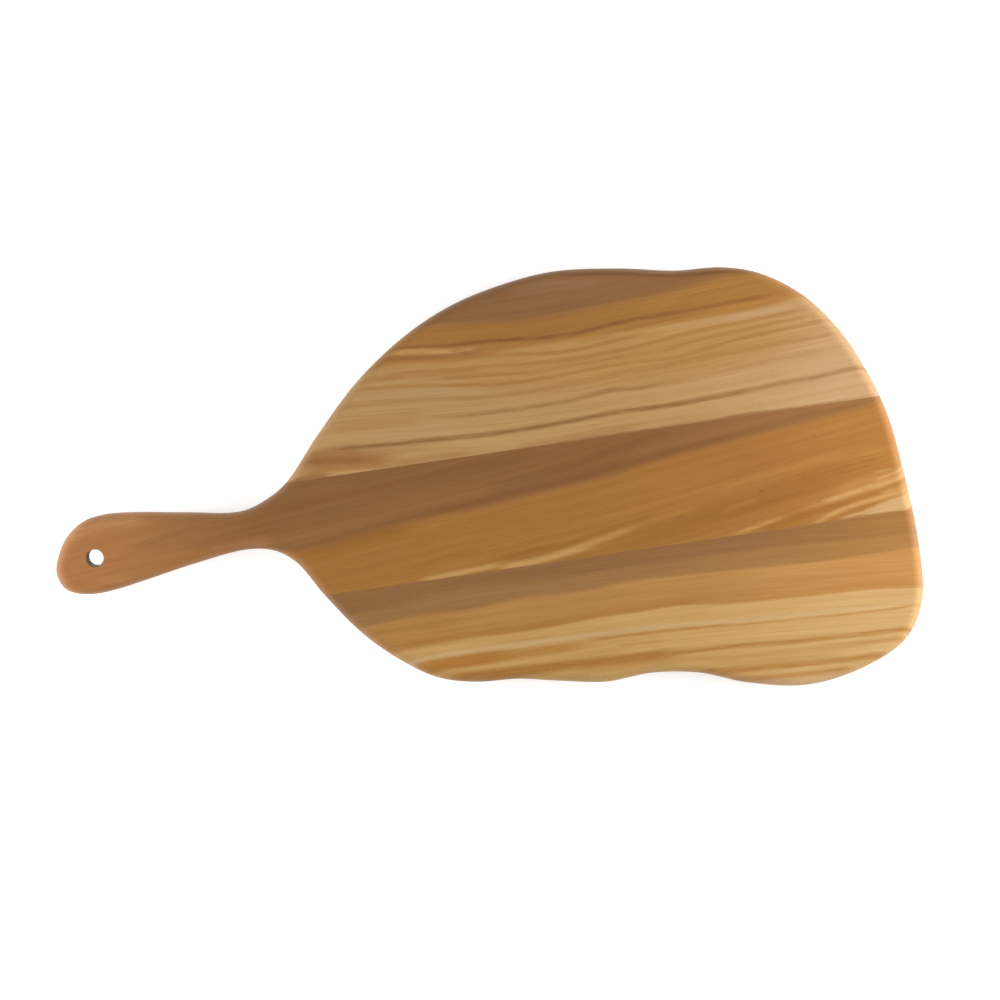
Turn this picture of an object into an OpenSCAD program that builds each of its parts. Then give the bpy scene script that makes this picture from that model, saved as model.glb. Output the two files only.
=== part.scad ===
// Paddle serving board, glued up edge to edge from three staves.
// The middle stave runs on past the blade as the handle, and a hanging hole is drilled through its end.
//
// Millimetres. X runs along the staves from the handle to the far end, Y across them, Z up.
// The origin is on the underside, below the middle of the board's overall length and width.

/* [Board] */
// Overall length along the staves
board_length = 500; // [440:1:580]
// Overall width across the staves
board_width = 260; // [220:1:300]
// Thickness of the planed staves
board_thickness = 18; // [15:0.5:25]
// Radius of the rounded-over top and bottom edges
edge_radius = 6; // [3:0.5:7]

/* [Handle] */
// Length from the handle's tip to the narrowest place of the neck
handle_length = 112; // [100:1:125]
// Widest place of the handle, near its tip
handle_end_width = 45; // [40:0.5:50]
// Narrowest place of the neck
neck_width = 22.5; // [20:0.5:28]
// How far the widest place's centre lies above the board's centreline
handle_offset = 5.5; // [0:0.5:10]
// How far the neck's centre lies above the board's centreline
neck_offset = 7; // [0:0.5:12]

/* [Hanging hole] */
// Diameter of the drilled hole
hole_diameter = 10; // [8:0.5:14]
// Distance from the handle's tip to the hole's centre
hole_setback = 24; // [20:0.5:30]
// How far the hole's centre lies below the centre of the handle's widest place
hole_drop = 1.5; // [0:0.5:3]
// Radius of the eased rim at the hole's two mouths
hole_rim_radius = 0.8; // [0.4:0.1:1.5]

/* [Staves] */
// Width of the middle stave, which carries the handle
middle_stave_width = 68; // [60:1:80]
// Wood between the handle's upper edge and the upper glue line
joint_margin = 3; // [1:0.5:6]
// Thickness of the dried glue film in each joint
glue_thickness = 0.15; // [0.1:0.05:0.3]

/* [Hidden] */

// Flat steps between two control points of the outline
outline_steps = 4;
// Flat steps in each quarter round of the edge
round_steps = 5;
// Flat steps round the hole and round its rim's section
hole_facets = 96;
rim_facets = 48;
// How far a cut runs past the wood
overrun = 1;

upper_stave_colour = [0.76, 0.60, 0.39];
middle_stave_colour = [0.66, 0.45, 0.24];
lower_stave_colour = [0.74, 0.56, 0.34];
glue_colour = [0.52, 0.36, 0.20];

blade_length = board_length - handle_length;
tip_x = -board_length / 2;
neck_x = tip_x + handle_length;
upper_joint_y = handle_offset + handle_end_width / 2 + joint_margin;
lower_joint_y = upper_joint_y - middle_stave_width;
hole_x = tip_x + hole_setback;
hole_y = handle_offset - hole_drop;
hole_radius = hole_diameter / 2;

// Control points of the blade, from the neck to the far end.
// The first share is of the blade's length past the neck, the second of half the board's width from its centreline.
upper_blade_shares = [
    [0.045, 0.185], [0.075, 0.245], [0.130, 0.430], [0.200, 0.640], [0.280, 0.810], [0.355, 0.915],
    [0.435, 0.975], [0.515, 1.000], [0.615, 0.970], [0.695, 0.925], [0.765, 0.910], [0.820, 0.860],
    [0.880, 0.735], [0.925, 0.565], [0.955, 0.385], [0.980, 0.160], [0.992, -0.100]
];
lower_blade_shares = [
    [0.040, -0.055], [0.070, -0.120], [0.105, -0.285], [0.150, -0.470], [0.200, -0.615], [0.255, -0.725],
    [0.310, -0.770], [0.375, -0.785], [0.435, -0.820], [0.505, -0.855], [0.575, -0.845], [0.645, -0.875],
    [0.715, -0.950], [0.805, -1.000], [0.890, -0.960], [0.960, -0.860], [0.992, -0.705]
];
far_end_shares = [1, -0.455];

// Control points of the handle, from its tip to the neck.
// The first share is of the handle's length, the second of half the widest place from that place's centre.
upper_handle_shares = [[0.030, 0.180], [0.090, 0.610], [0.180, 0.910], [0.290, 1.000], [0.450, 0.940], [0.715, 0.740]];
lower_handle_shares = [[0.030, -0.740], [0.090, -0.920], [0.180, -1.000], [0.290, -0.970], [0.450, -0.840], [0.715, -0.600]];
tip_shares = [0, -0.310];

function blade_point(shares) = [neck_x + blade_length * shares[0], board_width / 2 * shares[1]];
function handle_point(shares) =
    [tip_x + handle_length * shares[0], handle_offset + handle_end_width / 2 * shares[1]];
function reversed(list) = [for (i = [len(list) - 1 : -1 : 0]) list[i]];

// The closed outline, counter-clockwise from the far end: along the upper side to the tip and back along the lower side.
control_points = concat(
    [blade_point(far_end_shares)],
    [for (shares = reversed(upper_blade_shares)) blade_point(shares)],
    [[neck_x, neck_offset + neck_width / 2]],
    [for (shares = reversed(upper_handle_shares)) handle_point(shares)],
    [handle_point(tip_shares)],
    [for (shares = lower_handle_shares) handle_point(shares)],
    [[neck_x, neck_offset - neck_width / 2]],
    [for (shares = lower_blade_shares) blade_point(shares)]
);

// A centripetal Catmull-Rom curve, which passes through its control points without loops or overshoot.
function between(a, b, t) = a + (b - a) * t;
function knot_gap(a, b) = sqrt(norm(b - a));
function curve_point(a, b, c, d, t) =
    let (
        kb = knot_gap(a, b),
        kc = kb + knot_gap(b, c),
        kd = kc + knot_gap(c, d),
        k = between(kb, kc, t),
        ab = between(a, b, k / kb),
        bc = between(b, c, (k - kb) / (kc - kb)),
        cd = between(c, d, (k - kc) / (kd - kc)),
        abc = between(ab, bc, k / kc),
        bcd = between(bc, cd, (k - kb) / (kd - kb))
    )
    between(abc, bcd, (k - kb) / (kc - kb));
function cyclic(list, i) = list[(i + len(list)) % len(list)];
function closed_curve(points, steps) = [
    for (i = [0 : len(points) - 1], s = [0 : steps - 1])
        curve_point(cyclic(points, i - 1), points[i], cyclic(points, i + 1), cyclic(points, i + 2), s / steps)
];

outline = closed_curve(control_points, outline_steps);
function outward(points, i) =
    let (along = cyclic(points, i + 1) - cyclic(points, i - 1)) [along.y, -along.x] / norm(along);

// The edge's section, from the underside to the top face, as [distance in from the outline, height].
edge_section = concat(
    [for (k = [0 : round_steps]) let (a = 90 * k / round_steps)
        [edge_radius * (1 - sin(a)), edge_radius * (1 - cos(a))]],
    [for (k = [0 : round_steps]) let (a = 90 * k / round_steps)
        [edge_radius * (1 - cos(a)), board_thickness - edge_radius * (1 - sin(a))]]
);

// The whole board as one rounded blank: its outline swept up the edge's section, with both faces closed by strips.
module board_blank() {
    n = len(outline);
    half = n / 2;
    top = (len(edge_section) - 1) * n;
    ring_points = [
        for (station = edge_section, i = [0 : n - 1])
            let (p = outline[i] - outward(outline, i) * station[0]) [p.x, p.y, station[1]]
    ];
    wall_faces = [
        for (ring = [0 : len(edge_section) - 2], i = [0 : n - 1])
            let (a = ring * n + i, b = ring * n + (i + 1) % n)
            each [[a, a + n, b + n], [a, b + n, b]]
    ];
    strip_faces = [
        for (i = [0 : half - 1])
            let (a = i, b = i + 1, c = n - i - 1, d = (n - i) % n)
            each concat(b == c ? [] : [[a, b, c]], a == d ? [] : [[a, c, d]])
    ];
    top_faces = [for (f = strip_faces) [f[2] + top, f[1] + top, f[0] + top]];
    polyhedron(ring_points, concat(wall_faces, strip_faces, top_faces), convexity = 6);
}

// What of the blank lies between two heights across the staves, both cut square to the faces.
module ripped(low_y, high_y) {
    intersection() {
        board_blank();
        translate([tip_x - overrun, low_y, -overrun])
            cube([board_length + 2 * overrun, high_y - low_y, board_thickness + 2 * overrun]);
    }
}

// A drilled hole with rounded mouths, to be cut from the handle.
module hanging_hole_cut() {
    translate([hole_x, hole_y, -overrun])
        cylinder(h = board_thickness + 2 * overrun, r = hole_radius, $fn = hole_facets);
    translate([hole_x, hole_y, board_thickness])
        hole_mouth_cut();
    translate([hole_x, hole_y, 0])
        mirror([0, 0, 1])
            hole_mouth_cut();
}

module hole_mouth_cut() {
    rotate_extrude($fn = hole_facets)
        difference() {
            translate([0, -hole_rim_radius])
                square([hole_radius + hole_rim_radius, hole_rim_radius + overrun]);
            translate([hole_radius + hole_rim_radius, -hole_rim_radius])
                circle(r = hole_rim_radius, $fn = rim_facets);
        }
}

module upper_stave() {
    color(upper_stave_colour)
        ripped(upper_joint_y + glue_thickness, board_width / 2 + overrun);
}

module upper_glue_film() {
    color(glue_colour)
        ripped(upper_joint_y, upper_joint_y + glue_thickness);
}

module middle_stave() {
    color(middle_stave_colour)
        difference() {
            ripped(lower_joint_y, upper_joint_y);
            hanging_hole_cut();
        }
}

module lower_glue_film() {
    color(glue_colour)
        ripped(lower_joint_y - glue_thickness, lower_joint_y);
}

module lower_stave() {
    color(lower_stave_colour)
        ripped(-board_width / 2 - overrun, lower_joint_y - glue_thickness);
}

upper_stave();
upper_glue_film();
middle_stave();
lower_glue_film();
lower_stave();
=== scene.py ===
# %% [markdown]
# # A paddle serving board
#
# The real board is three planed planks, glued edge to edge, sawn to a free-form blade with a short handle,
# rounded over along every edge, sanded and oiled. Nothing on it moves. The imported model is the frame that
# all of this sits in: metres, X along the staves from the handle to the far end, Y across them and Z up,
# with the origin on the underside. It is loaded first, and its box gives the board's size.

import math

import bmesh
import bpy
from mathutils import Color, Matrix, Vector


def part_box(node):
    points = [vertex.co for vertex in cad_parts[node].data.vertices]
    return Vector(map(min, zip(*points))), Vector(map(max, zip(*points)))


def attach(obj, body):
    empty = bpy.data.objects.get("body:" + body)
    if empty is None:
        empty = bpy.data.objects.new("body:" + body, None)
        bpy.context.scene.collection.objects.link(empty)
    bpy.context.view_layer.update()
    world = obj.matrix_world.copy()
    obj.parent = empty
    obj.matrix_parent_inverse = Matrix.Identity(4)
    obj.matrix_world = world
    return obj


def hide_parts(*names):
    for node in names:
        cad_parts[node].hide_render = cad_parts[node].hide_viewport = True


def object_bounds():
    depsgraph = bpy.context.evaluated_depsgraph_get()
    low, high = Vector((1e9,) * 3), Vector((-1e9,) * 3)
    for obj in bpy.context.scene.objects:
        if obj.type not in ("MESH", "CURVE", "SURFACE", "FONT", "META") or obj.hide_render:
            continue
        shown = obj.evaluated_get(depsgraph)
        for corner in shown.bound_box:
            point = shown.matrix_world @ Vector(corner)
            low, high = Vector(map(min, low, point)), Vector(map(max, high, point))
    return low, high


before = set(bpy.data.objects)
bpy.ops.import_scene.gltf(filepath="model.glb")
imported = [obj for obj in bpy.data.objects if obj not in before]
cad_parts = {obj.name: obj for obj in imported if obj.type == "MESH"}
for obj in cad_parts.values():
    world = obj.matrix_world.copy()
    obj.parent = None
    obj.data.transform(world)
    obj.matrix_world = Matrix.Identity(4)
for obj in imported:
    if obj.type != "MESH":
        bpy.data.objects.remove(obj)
MM = 0.001
packed_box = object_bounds()
lowest, highest = (Vector(corner) for corner in packed_box)
BOARD_LENGTH, BOARD_WIDTH, BOARD_THICKNESS = highest - lowest
print("nodes:", sorted(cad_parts))
print(f"board: {BOARD_LENGTH / MM:.1f} x {BOARD_WIDTH / MM:.1f} x {BOARD_THICKNESS / MM:.1f} mm")

# %% [markdown]
# ## The outline
#
# A maker draws such a blade freehand, with a few marks and a limber batten bent through them. A Catmull-Rom
# curve is that batten in numbers: it passes through every mark and stays smooth between them. The
# centripetal kind neither loops nor overshoots where the marks are close together. The marks are the same
# ones that the solid model uses, as shares of the blade and of the handle, so that the fine mesh made here
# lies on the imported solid.

# %% The marks of the outline
HANDLE_LENGTH = 112 * MM
HANDLE_END_WIDTH = 45 * MM
NECK_WIDTH = 22.5 * MM
HANDLE_OFFSET = 5.5 * MM
NECK_OFFSET = 7 * MM

UPPER_BLADE_SHARES = [
    (0.045, 0.185), (0.075, 0.245), (0.130, 0.430), (0.200, 0.640), (0.280, 0.810), (0.355, 0.915),
    (0.435, 0.975), (0.515, 1.000), (0.615, 0.970), (0.695, 0.925), (0.765, 0.910), (0.820, 0.860),
    (0.880, 0.735), (0.925, 0.565), (0.955, 0.385), (0.980, 0.160), (0.992, -0.100),
]
LOWER_BLADE_SHARES = [
    (0.040, -0.055), (0.070, -0.120), (0.105, -0.285), (0.150, -0.470), (0.200, -0.615), (0.255, -0.725),
    (0.310, -0.770), (0.375, -0.785), (0.435, -0.820), (0.505, -0.855), (0.575, -0.845), (0.645, -0.875),
    (0.715, -0.950), (0.805, -1.000), (0.890, -0.960), (0.960, -0.860), (0.992, -0.705),
]
FAR_END_SHARES = (1, -0.455)
UPPER_HANDLE_SHARES = [
    (0.030, 0.180), (0.090, 0.610), (0.180, 0.910), (0.290, 1.000), (0.450, 0.940), (0.715, 0.740),
]
LOWER_HANDLE_SHARES = [
    (0.030, -0.740), (0.090, -0.920), (0.180, -1.000), (0.290, -0.970), (0.450, -0.840), (0.715, -0.600),
]
TIP_SHARES = (0, -0.310)

TIP_X = -BOARD_LENGTH / 2
NECK_X = TIP_X + HANDLE_LENGTH
BLADE_LENGTH = BOARD_LENGTH - HANDLE_LENGTH


def blade_mark(shares):
    return Vector((NECK_X + BLADE_LENGTH * shares[0], BOARD_WIDTH / 2 * shares[1]))


def handle_mark(shares):
    return Vector((TIP_X + HANDLE_LENGTH * shares[0], HANDLE_OFFSET + HANDLE_END_WIDTH / 2 * shares[1]))


marks = [blade_mark(FAR_END_SHARES)]
marks += [blade_mark(shares) for shares in reversed(UPPER_BLADE_SHARES)]
marks += [Vector((NECK_X, NECK_OFFSET + NECK_WIDTH / 2))]
marks += [handle_mark(shares) for shares in reversed(UPPER_HANDLE_SHARES)]
marks += [handle_mark(TIP_SHARES)]
marks += [handle_mark(shares) for shares in LOWER_HANDLE_SHARES]
marks += [Vector((NECK_X, NECK_OFFSET - NECK_WIDTH / 2))]
marks += [blade_mark(shares) for shares in LOWER_BLADE_SHARES]
print(len(marks), "marks round the outline")

# %% The curve through the marks
OUTLINE_STEPS = 16


def between(a, b, start, end, place):
    """The point that lies between a and b as place lies between start and end."""
    return a + (b - a) * ((place - start) / (end - start))


def batten_point(a, b, c, d, share):
    """A point of the stretch from b to c, on a batten held at a, b, c and d."""
    kb = math.sqrt((b - a).length)
    kc = kb + math.sqrt((c - b).length)
    kd = kc + math.sqrt((d - c).length)
    place = kb + (kc - kb) * share
    ab = between(a, b, 0, kb, place)
    bc = between(b, c, kb, kc, place)
    cd = between(c, d, kc, kd, place)
    return between(between(ab, bc, 0, kc, place), between(bc, cd, kb, kd, place), kb, kc, place)


def closed_batten(points, steps):
    count = len(points)
    return [
        batten_point(points[i - 1], points[i], points[(i + 1) % count], points[(i + 2) % count], step / steps)
        for i in range(count)
        for step in range(steps)
    ]


def outward(loop, i):
    """The direction square to a closed loop at its point i, away from the wood."""
    along = (loop[(i + 1) % len(loop)] - loop[i - 1]).normalized()
    return Vector((along.y, -along.x))


outline = closed_batten(marks, OUTLINE_STEPS)
girth = sum((outline[i] - outline[i - 1]).length for i in range(len(outline)))
print(f"{len(outline)} outline points, {girth / MM:.0f} mm round")

# %% [markdown]
# ## The rounded blank
#
# A router with a quarter-round bit runs along both arrises of the sawn board. The mesh is made the same
# way: the outline is swept up the edge's section, which is a quarter round, a short flat wall and a quarter
# round again. A Bevel modifier could round a plain slab too, but its corners depend on how the slab was cut
# up. A sweep gives even rings of quads, so light runs along the edge without a break. The two flat faces
# are then scored with a square grid, because one huge polygon would be split into slivers.

# %% Sweep the outline round the edge's section
EDGE_RADIUS = 6 * MM
ROUND_STEPS = 10
FACE_GRID = 12 * MM
FLAT_ENOUGH = 0.9999
CUT_TOLERANCE = 1e-7


def quarter_round(radius, steps):
    """A rounded edge's section, from the flat face to the wall, as (distance in, distance down)."""
    turns = [math.pi / 2 * step / steps for step in range(steps + 1)]
    return [(radius * (1 - math.sin(turn)), radius * (1 - math.cos(turn))) for turn in turns]


def skin(loops):
    """A closed mesh over a stack of loops with as many points each, from the lowest to the highest."""
    mesh = bmesh.new()
    rings = [[mesh.verts.new(point) for point in loop] for loop in loops]
    count = len(rings[0])
    for below, above in zip(rings, rings[1:]):
        for i in range(count):
            j = (i + 1) % count
            mesh.faces.new((below[i], below[j], above[j], above[i]))
    mesh.faces.new(list(reversed(rings[0])))
    mesh.faces.new(rings[-1])
    return mesh


def score(mesh, spacing):
    """Cuts the flat top and bottom faces along a square grid."""
    for axis, size in enumerate((BOARD_LENGTH, BOARD_WIDTH)):
        normal = Vector((0, 0, 0))
        normal[axis] = 1
        reach = int(size / 2 / spacing)
        for line in range(-reach, reach + 1):
            flat = [face for face in mesh.faces if abs(face.normal.z) > FLAT_ENOUGH]
            edges = {edge for face in flat for edge in face.edges}
            corners = {corner for face in flat for corner in face.verts}
            bmesh.ops.bisect_plane(
                mesh, geom=flat + list(edges) + list(corners), dist=CUT_TOLERANCE,
                plane_co=normal * (line * spacing), plane_no=normal,
            )


section = quarter_round(EDGE_RADIUS, ROUND_STEPS)
section += [(inset, BOARD_THICKNESS - drop) for inset, drop in reversed(section)]
loops = []
for inset, height in section:
    flat_loop = [point - outward(outline, i) * inset for i, point in enumerate(outline)]
    loops.append([Vector((point.x, point.y, height)) for point in flat_loop])
blank = skin(loops)
blank.normal_update()
score(blank, FACE_GRID)
print(len(blank.faces), "faces in the blank")

# %% [markdown]
# ## Three staves from one blank
#
# On the bench the planks are glued first and the shape is sawn after, so the outline runs across the joints
# without a step. Here the finished blank is cut back apart along the joint planes, and each cut gets its
# flat glued face. The glue films between them are a tenth or two of a millimetre thick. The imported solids
# hold them already, and they stay as they are. The staves' own solids have the right form too, but in
# facets some 6 mm long. These finer meshes stand for them.

# %% Rip the blank along the joints
upper_film_low, upper_film_high = (corner[1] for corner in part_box("upper_glue_film"))
lower_film_low, lower_film_high = (corner[1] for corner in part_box("lower_glue_film"))
print(f"joints at y = {upper_film_low / MM:.2f} and {lower_film_high / MM:.2f} mm")


def rip(mesh, low_y, high_y):
    """A copy of the mesh between two heights across the board, closed flat where it was cut."""
    plank = mesh.copy()
    for height, keeps in ((low_y, 1), (high_y, -1)):
        if height is None:
            continue
        cut = bmesh.ops.bisect_plane(
            plank, geom=plank.verts[:] + plank.edges[:] + plank.faces[:], dist=CUT_TOLERANCE,
            plane_co=(0, height, 0), plane_no=(0, -keeps, 0), clear_outer=True,
        )
        rim = [item for item in cut["geom_cut"] if isinstance(item, bmesh.types.BMEdge)]
        bmesh.ops.contextual_create(plank, geom=rim)
    bmesh.ops.recalc_face_normals(plank, faces=plank.faces)
    return plank


def bench_object(mesh, name):
    """Puts a bmesh into a named object of the scene."""
    data = bpy.data.meshes.new(name)
    mesh.to_mesh(data)
    mesh.free()
    thing = bpy.data.objects.new(name, data)
    bpy.context.collection.objects.link(thing)
    return thing


upper_stave = bench_object(rip(blank, upper_film_high, None), "upper_stave_wood")
middle_stave = bench_object(rip(blank, lower_film_high, upper_film_low), "middle_stave_wood")
lower_stave = bench_object(rip(blank, None, lower_film_low), "lower_stave_wood")
blank.free()
for stave in (upper_stave, middle_stave, lower_stave):
    print(stave.name, len(stave.data.polygons), "faces")

# %% [markdown]
# ## The hanging hole
#
# A hole is bored through the handle's end and its two mouths are eased with a small round, so that a cord
# or hook doesn't chafe. The drill is one more skin over a stack of circles, as wide at each height as the
# hole is there. A Boolean modifier takes it out of the middle stave, and the result is written back to the
# mesh.

# %% Bore the hole and ease its mouths
HOLE_RADIUS = 5 * MM
HOLE_RIM_RADIUS = 0.8 * MM
HOLE_X = TIP_X + 24 * MM
HOLE_Y = HANDLE_OFFSET - 1.5 * MM
HOLE_SIDES = 96
RIM_STEPS = 6
OVERRUN = 1 * MM

mouth = [(HOLE_RADIUS + inset, drop) for inset, drop in quarter_round(HOLE_RIM_RADIUS, RIM_STEPS)]
profile = [(HOLE_RADIUS + HOLE_RIM_RADIUS, -OVERRUN)] + mouth
profile += [(radius, BOARD_THICKNESS - height) for radius, height in reversed(profile)]


def circle(radius, height):
    turns = [2 * math.pi * side / HOLE_SIDES for side in range(HOLE_SIDES)]
    return [Vector((HOLE_X + radius * math.cos(t), HOLE_Y + radius * math.sin(t), height)) for t in turns]


drill = bench_object(skin([circle(radius, height) for radius, height in profile]), "drill")
bore = middle_stave.modifiers.new("hanging hole", "BOOLEAN")
bore.operation = "DIFFERENCE"
bore.solver = "EXACT"
bore.object = drill
bpy.context.view_layer.update()
drilled = bpy.data.meshes.new_from_object(middle_stave.evaluated_get(bpy.context.evaluated_depsgraph_get()))
middle_stave.modifiers.clear()
middle_stave.data = drilled
drilled.name = "middle_stave_wood"
bpy.data.objects.remove(drill)
print("middle stave after drilling:", len(drilled.polygons), "faces")

# %% [markdown]
# ## Shading a rounded edge
#
# Every face is shaded smooth, but edges that turn sharply, where a stave meets the glue, are marked sharp.
# The Weighted Normal modifier then lets the large flat faces decide the normal where they meet the round,
# so the faces stay flat right up to the edge and the round begins without a smear.

# %% Smooth the rounds and keep the joints crisp
SHARP_TURN = math.radians(40)
FLAT_FACES_LEAD = 100


def dress_shading(thing):
    """Smooth shading, with sharp edges where the surface turns hard."""
    mesh = bmesh.new()
    mesh.from_mesh(thing.data)
    for face in mesh.faces:
        face.smooth = True
    for edge in mesh.edges:
        edge.smooth = edge.is_manifold and edge.calc_face_angle() < SHARP_TURN
    open_edges = sum(1 for edge in mesh.edges if not edge.is_manifold)
    mesh.to_mesh(thing.data)
    mesh.free()
    weigh = thing.modifiers.new("flat faces lead", "WEIGHTED_NORMAL")
    weigh.keep_sharp = True
    weigh.weight = FLAT_FACES_LEAD
    print(thing.name, "open edges:", open_edges)


staves = {"upper_stave": upper_stave, "middle_stave": middle_stave, "lower_stave": lower_stave}
for node, stave in staves.items():
    dress_shading(stave)
    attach(stave, "root")
    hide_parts(node)

# %% [markdown]
# ## Small helpers for shader nodes
#
# A material is a graph of nodes. These helpers only shorten the writing: they add a node and feed its
# inputs, do a sum, mix two colours, or open a node group with named inputs and outputs. A swatch turns a
# colour as a paint chart gives it into the linear colour that Blender wants.

# %% Colours, feeds and nodes
def swatch(red, green, blue):
    """A colour as a screen shows it, from 0 to 255, as the linear colour of a shader."""
    shown = Color((red / 255, green / 255, blue / 255))
    return (*shown.from_srgb_to_scene_linear(), 1)


def feed(tree, socket, value):
    """Links a socket to an input, or writes a plain value into it."""
    if isinstance(value, bpy.types.NodeSocket):
        tree.links.new(value, socket)
    else:
        socket.default_value = value


def place(tree, kind, feeds=(), **settings):
    """Adds a node. feeds maps its inputs, by name or number, to sockets or plain values."""
    node = tree.nodes.new("ShaderNode" + kind)
    for name, value in settings.items():
        setattr(node, name, value)
    for name, value in dict(feeds).items():
        feed(tree, node.inputs[name], value)
    return node


print("a screen's middle grey is", round(swatch(128, 128, 128)[0], 3), "in a shader")

# %% Sums
def work_out(tree, operation, *values):
    """A Math node's result."""
    return place(tree, "Math", dict(enumerate(values)), operation=operation).outputs[0]


def plus(tree, a, b):
    return work_out(tree, "ADD", a, b)


def minus(tree, a, b):
    return work_out(tree, "SUBTRACT", a, b)


def times(tree, a, b):
    return work_out(tree, "MULTIPLY", a, b)


def per(tree, a, b):
    return work_out(tree, "DIVIDE", a, b)


def ease(tree, value, low, high):
    """0 below low, 1 above high, and a soft rise between them."""
    feeds = {"Value": value, "From Min": low, "From Max": high}
    return place(tree, "MapRange", feeds, interpolation_type="SMOOTHSTEP").outputs["Result"]


print("sums: plus, minus, times, per and ease")

# %% Noise and mixes of colour
NOISE_ROUGHNESS = 0.58
GREEN_SWING = 1.3
BLUE_SWING = 1.7

# a Mix node has sockets for every kind of value, and these are the numbers of its colours
MIX_UNDER = 6
MIX_OVER = 7
MIX_RESULT = 2


def noise_at(tree, x, y, z, detail):
    """Noise read at a place that is given by three numbers."""
    spot = place(tree, "CombineXYZ", {"X": x, "Y": y, "Z": z}).outputs[0]
    feeds = {"Vector": spot, "Scale": 1, "Detail": detail, "Roughness": NOISE_ROUGHNESS}
    return place(tree, "TexNoise", feeds).outputs["Fac"]


def tint(tree, colour, over, share):
    """colour, painted over with another as far as share says."""
    feeds = {"Factor": share, MIX_UNDER: colour, MIX_OVER: over}
    return place(tree, "Mix", feeds, data_type="RGBA").outputs[MIX_RESULT]


def stain(tree, colour, shade, share):
    """colour, darkened by a transparent shade as far as share says."""
    feeds = {"Factor": share, MIX_UNDER: colour, MIX_OVER: shade}
    return place(tree, "Mix", feeds, data_type="RGBA", blend_type="MULTIPLY").outputs[MIX_RESULT]


def toned(tree, colour, share, depth):
    """colour, darker and redder where share nears 0, paler where it nears 1, as it was at a half."""
    swings = (depth, GREEN_SWING * depth, BLUE_SWING * depth)
    dark = (*(1 - swing for swing in swings), 1)
    pale = (*(1 + swing for swing in swings), 1)
    return stain(tree, colour, tint(tree, dark, pale, share), 1)


print("a darker tone loses", GREEN_SWING, "and", BLUE_SWING, "times as much green and blue as red")

# %% Node groups and materials
def new_group(name, inputs, outputs):
    """An empty node group that passes numbers, and the sockets that stand for them inside it."""
    group = bpy.data.node_groups.new(name, "ShaderNodeTree")
    for label, value in inputs.items():
        socket = group.interface.new_socket(name=label, in_out="INPUT", socket_type="NodeSocketFloat")
        socket.default_value = value
    for label in outputs:
        group.interface.new_socket(name=label, in_out="OUTPUT", socket_type="NodeSocketFloat")
    given = group.nodes.new("NodeGroupInput").outputs
    return group, given, group.nodes.new("NodeGroupOutput").inputs


def use(tree, group, feeds=()):
    """Places a node group and returns its outputs."""
    node = tree.nodes.new("ShaderNodeGroup")
    node.node_tree = group
    for name, value in dict(feeds).items():
        feed(tree, node.inputs[name], value)
    return node.outputs


def new_material(name):
    """A material with an empty node tree, and the tree."""
    material = bpy.data.materials.new(name)
    material.use_nodes = True
    material.node_tree.nodes.clear()
    return material, material.node_tree


def finish_with(thing, material):
    thing.data.materials.clear()
    thing.data.materials.append(material)


print("materials so far:", len(bpy.data.materials))

# %% [markdown]
# ## How wood is laid out in space
#
# Growth rings are shells round the tree's heart, and a plank is cut through them. On the wide face they
# show as lines along the plank. On the end they show as short slanted arcs. An image pasted on the face
# can't do both, so the pattern is solid: each point in the plank gets three readings in millimetres, along
# the fibres, across the rings and down from the face. Lines slope as they go down, because the rings lie at
# a slant in the plank. A slow wobble keeps any line from looking ruled.

# %% Group: grain readings
WOBBLE_LENGTH = 26
WOBBLE_WIDTH = 9
WOBBLE_DETAIL = 2.5

grain_readings, given, result = new_group(
    "Grain readings",
    {"Ring slope": 0.6, "Ring curl": 0.012, "Wobble": 0.7, "Seed": 0},
    ["Along", "Across", "Down"],
)
tree = grain_readings
spot = place(tree, "TexCoord").outputs["Object"]
spot_mm = place(tree, "VectorMath", {0: spot, "Scale": 1 / MM}, operation="SCALE").outputs[0]
axes = place(tree, "SeparateXYZ", {0: spot_mm}).outputs
down = minus(tree, BOARD_THICKNESS / MM, axes["Z"])
slant = times(tree, down, given["Ring slope"])
curl = times(tree, times(tree, down, down), given["Ring curl"])
true_across = plus(tree, plus(tree, axes["Y"], slant), curl)
slow_x = per(tree, axes["X"], WOBBLE_LENGTH)
slow_y = per(tree, true_across, WOBBLE_WIDTH)
slow = noise_at(tree, slow_x, slow_y, given["Seed"], WOBBLE_DETAIL)
wobble = times(tree, minus(tree, slow, 0.5), given["Wobble"])
feed(tree, result["Along"], axes["X"])
feed(tree, result["Across"], plus(tree, true_across, wobble))
feed(tree, result["Down"], down)
print("group:", grain_readings.name)

# %% [markdown]
# ## Borders, streaks and flecks
#
# Three marks are enough to draw a plank's figure. A border is where one wood ends and another begins, such
# as pale sapwood against brown heartwood. A streak is a single dark or pale line, such as the close of a
# year's growth. A fleck is a short spot. Borders and streaks follow a path that a maker could pencil on the
# face: a Float Curve node holds a few given points, and gives the path's height across the plank for
# each place along it. A plain noise texture would look like wood, but never like this plank.

# %% Group: border
PLANK_REACH = 400


def stretch(tree, given):
    """1 between two places along the plank, easing to 0 inside each of them."""
    rise = ease(tree, given["Along"], given["From"], plus(tree, given["From"], given["Fade"]))
    fall = ease(tree, given["Along"], minus(tree, given["To"], given["Fade"]), given["To"])
    return times(tree, rise, minus(tree, 1, fall))


border_group, given, result = new_group(
    "Wood border",
    {"Along": 0, "Across": 0, "Path": 0, "Softness": 2, "From": -PLANK_REACH, "To": PLANK_REACH, "Fade": 60},
    ["Mark"],
)
tree = border_group
gap = minus(tree, given["Across"], given["Path"])
half_soft = times(tree, given["Softness"], 0.5)
above = ease(tree, gap, times(tree, half_soft, -1), half_soft)
feed(tree, result["Mark"], times(tree, above, stretch(tree, given)))
print("group:", border_group.name)

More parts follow.
